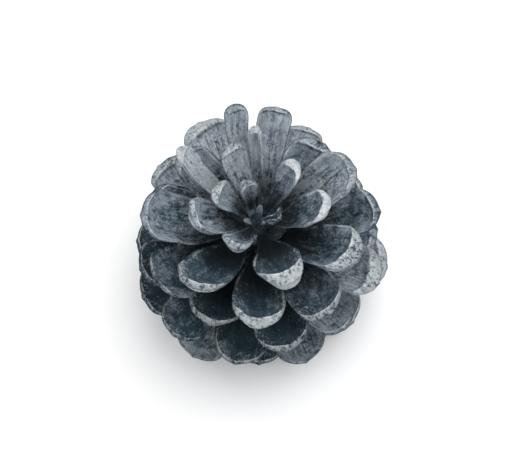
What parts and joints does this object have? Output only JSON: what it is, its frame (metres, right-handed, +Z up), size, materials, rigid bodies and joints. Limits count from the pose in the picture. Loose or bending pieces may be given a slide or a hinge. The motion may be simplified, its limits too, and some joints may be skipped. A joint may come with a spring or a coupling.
{
  "type": "pine cone",
  "caption": "Open pine cone standing on its base: a woody core with broad spoon-shaped scales in a spiral, painted dark slate with pale frosting on the rims.",
  "frame": {"origin": "centre of the stalk scar, on the surface that the cone stands on", "axes": "+Z up along the cone's axis, towards its tip; -Y towards the side that the upper scales open to in front"},
  "size_m": [0.0592, 0.0601, 0.0456],
  "materials": {
    "core": "rough dry wood under a thin dark slate paint",
    "scales": "satin dark slate paint on wood, brushed with a pale silver frosting on the rims and tips"
  },
  "bodies": {
    "root": {"core": "core", "scale_01": "scales", "scale_02": "scales", "scale_03": "scales", "scale_04": "scales", "scale_05": "scales", "scale_06": "scales", "scale_07": "scales", "scale_08": "scales", "scale_09": "scales", "scale_10": "scales", "scale_11": "scales", "scale_12": "scales", "scale_13": "scales", "scale_14": "scales", "scale_15": "scales", "scale_16": "scales", "scale_17": "scales", "scale_18": "scales", "scale_19": "scales", "scale_20": "scales", "scale_21": "scales", "scale_22": "scales", "scale_23": "scales", "scale_24": "scales", "scale_25": "scales", "scale_26": "scales", "scale_27": "scales", "scale_28": "scales", "scale_29": "scales", "scale_30": "scales", "scale_31": "scales", "scale_32": "scales", "scale_33": "scales", "scale_34": "scales", "scale_35": "scales", "scale_36": "scales", "scale_37": "scales", "scale_38": "scales", "scale_39": "scales", "scale_40": "scales", "scale_41": "scales", "scale_42": "scales", "scale_43": "scales", "scale_44": "scales", "scale_45": "scales", "scale_46": "scales", "scale_47": "scales", "scale_48": "scales", "scale_49": "scales", "scale_50": "scales", "scale_51": "scales", "scale_52": "scales", "scale_53": "scales", "scale_54": "scales", "scale_55": "scales", "scale_56": "scales", "scale_57": "scales", "scale_58": "scales", "scale_59": "scales"}
  },
  "joints": []
}
